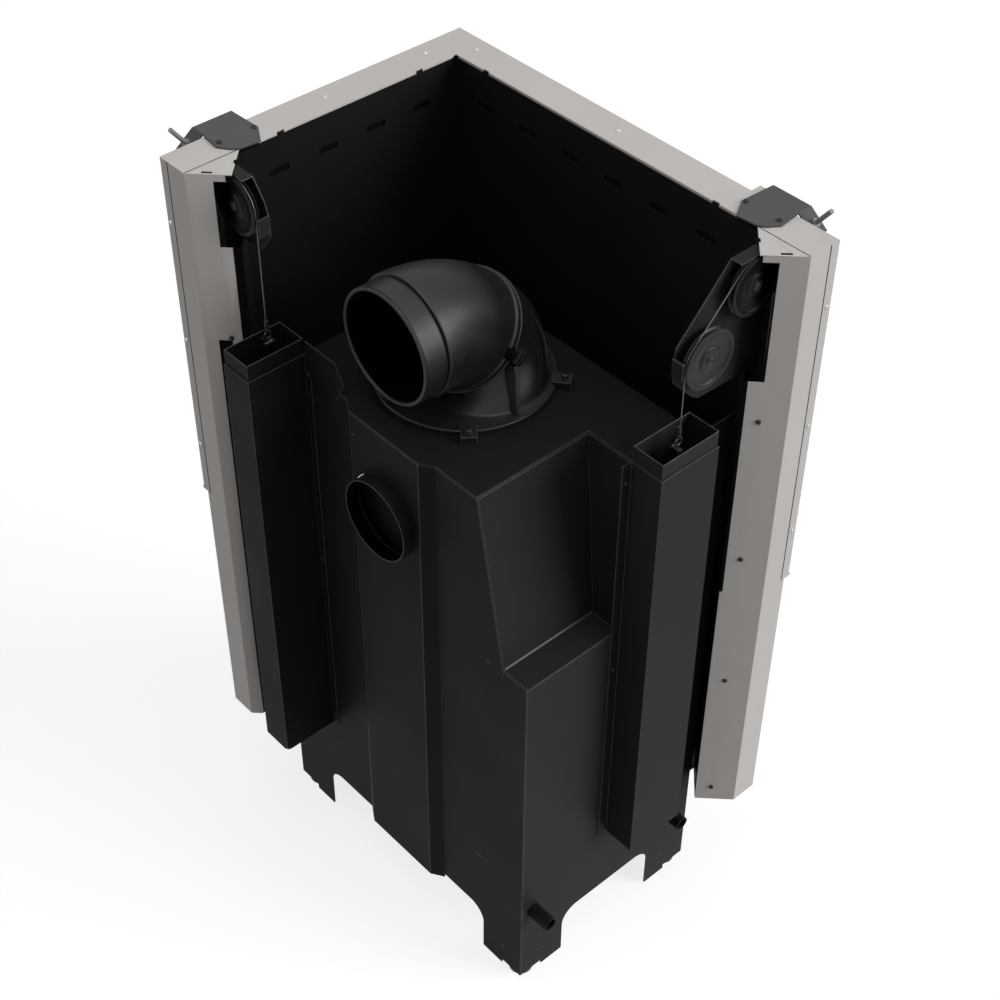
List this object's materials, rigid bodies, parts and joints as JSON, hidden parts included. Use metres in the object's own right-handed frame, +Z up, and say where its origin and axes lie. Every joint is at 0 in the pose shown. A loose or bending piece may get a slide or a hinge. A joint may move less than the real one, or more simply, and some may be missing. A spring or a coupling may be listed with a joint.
{
  "type": "fireplace insert",
  "caption": "Corner fireplace insert with a glass corner door that lifts on balance weights, a turnable flue elbow, a rear air inlet and hollow casing wings.",
  "frame": {"origin": "middle of the footprint at floor level", "axes": "+X towards the glass side, -Y towards the front glass, +Z up"},
  "size_m": [0.8792, 0.671, 1.5086],
  "materials": {
    "galvanised": "satin",
    "black_sheet": "matte",
    "cast_black": "satin",
    "zinc": "satin",
    "dark_steel": "satin",
    "fireclay": "matte",
    "door_glass": "polished",
    "rope": "matte"
  },
  "bodies": {
    "frame": {"front_cover": "galvanised", "side_cover": "galvanised", "right_column": "galvanised", "left_column": "galvanised", "column_caps": "galvanised", "front_inner_panel": "black_sheet", "side_inner_panel": "black_sheet", "guide_rails": "zinc", "cover_screws": "zinc", "black_screws": "black_sheet", "right_anchor": "black_sheet", "left_anchor": "black_sheet", "anchor_bolts": "zinc", "lower_sill": "galvanised", "right_pulley_bracket": "black_sheet", "left_pulley_bracket": "black_sheet", "pulley_axles": "zinc", "right_cable": "zinc", "left_cable": "zinc", "right_channel": "black_sheet", "left_channel": "black_sheet", "right_liner": "black_sheet", "left_liner": "black_sheet", "rear_wall": "black_sheet", "left_wall": "black_sheet", "recess_panel": "black_sheet", "front_hood": "black_sheet", "side_hood": "black_sheet", "top_plate": "black_sheet", "front_plinth": "black_sheet", "side_plinth": "black_sheet", "rear_duct": "black_sheet", "air_inlet_collar": "black_sheet", "levelling_feet": "black_sheet", "foot_plates": "black_sheet", "carry_tubes": "black_sheet", "base_plate": "black_sheet", "lining_floor": "fireclay", "lining_back": "fireclay", "lining_left": "fireclay", "baffle": "fireclay", "log_retainer": "cast_black", "opening_frame": "black_sheet", "door_seal": "rope", "flue_clamps": "cast_black", "clamp_bolts": "zinc"},
    "door": {"door_frame": "black_sheet", "door_glass": "door_glass", "door_handle": "zinc", "door_carriages": "zinc"},
    "right_balance": {"right_weight": "cast_black", "right_shackle": "zinc"},
    "left_balance": {"left_weight": "cast_black", "left_shackle": "zinc"},
    "right_upper_wheel": {"right_upper_pulley": "dark_steel"},
    "right_lower_wheel": {"right_lower_pulley": "dark_steel"},
    "left_wheel": {"left_pulley": "dark_steel"},
    "flue_base": {"flue_foot": "cast_black"},
    "flue_outlet": {"flue_elbow": "cast_black"},
    "air_control": {"air_slider": "zinc"}
  },
  "joints": [
    {"name": "door_lift", "type": "slide", "parent": "frame", "child": "door", "axis": [0, 0, 1], "range_m": [0, 0.54], "deforming": ["right_cable", "left_cable"]},
    {"name": "right_balance_slide", "type": "slide", "parent": "frame", "child": "right_balance", "axis": [0, 0, -1], "range_m": [0, 0.54]},
    {"name": "left_balance_slide", "type": "slide", "parent": "frame", "child": "left_balance", "axis": [0, 0, -1], "range_m": [0, 0.54]},
    {"name": "right_upper_spin", "type": "hinge", "parent": "frame", "child": "right_upper_wheel", "pos_m": [-0.38, -0.1895, 1.425], "axis": [1, 0, 0], "range_deg": [-631.5, 0]},
    {"name": "right_lower_spin", "type": "hinge", "parent": "frame", "child": "right_lower_wheel", "pos_m": [-0.38, -0.1015, 1.334], "axis": [1, 0, 0], "range_deg": [-631.5, 0]},
    {"name": "left_spin", "type": "hinge", "parent": "frame", "child": "left_wheel", "pos_m": [0.2925, 0.253, 1.425], "axis": [0, 1, 0], "range_deg": [-631.5, 0]},
    {"name": "flue_turn", "type": "hinge", "parent": "frame", "child": "flue_base", "pos_m": [0.0055, 0.0395, 1.147], "axis": [0, 0, 1], "range_deg": [-180, 180]},
    {"name": "elbow_turn", "type": "hinge", "parent": "flue_base", "child": "flue_outlet", "pos_m": [0.0055, 0.0395, 1.24], "axis": [0, 0.7071, 0.7071], "range_deg": [-180, 180]},
    {"name": "air_slide", "type": "slide", "parent": "frame", "child": "air_control", "axis": [-1, 0, 0], "range_m": [0, 0.04]}
  ],
  "couplings": [
    {"joint": "right_balance_slide", "follows": "door_lift", "ratio": 1},
    {"joint": "left_balance_slide", "follows": "door_lift", "ratio": 1},
    {"joint": "right_upper_spin", "follows": "door_lift", "rad_per_m": -20.408},
    {"joint": "right_lower_spin", "follows": "door_lift", "rad_per_m": -20.408},
    {"joint": "left_spin", "follows": "door_lift", "rad_per_m": -20.408}
  ]
}
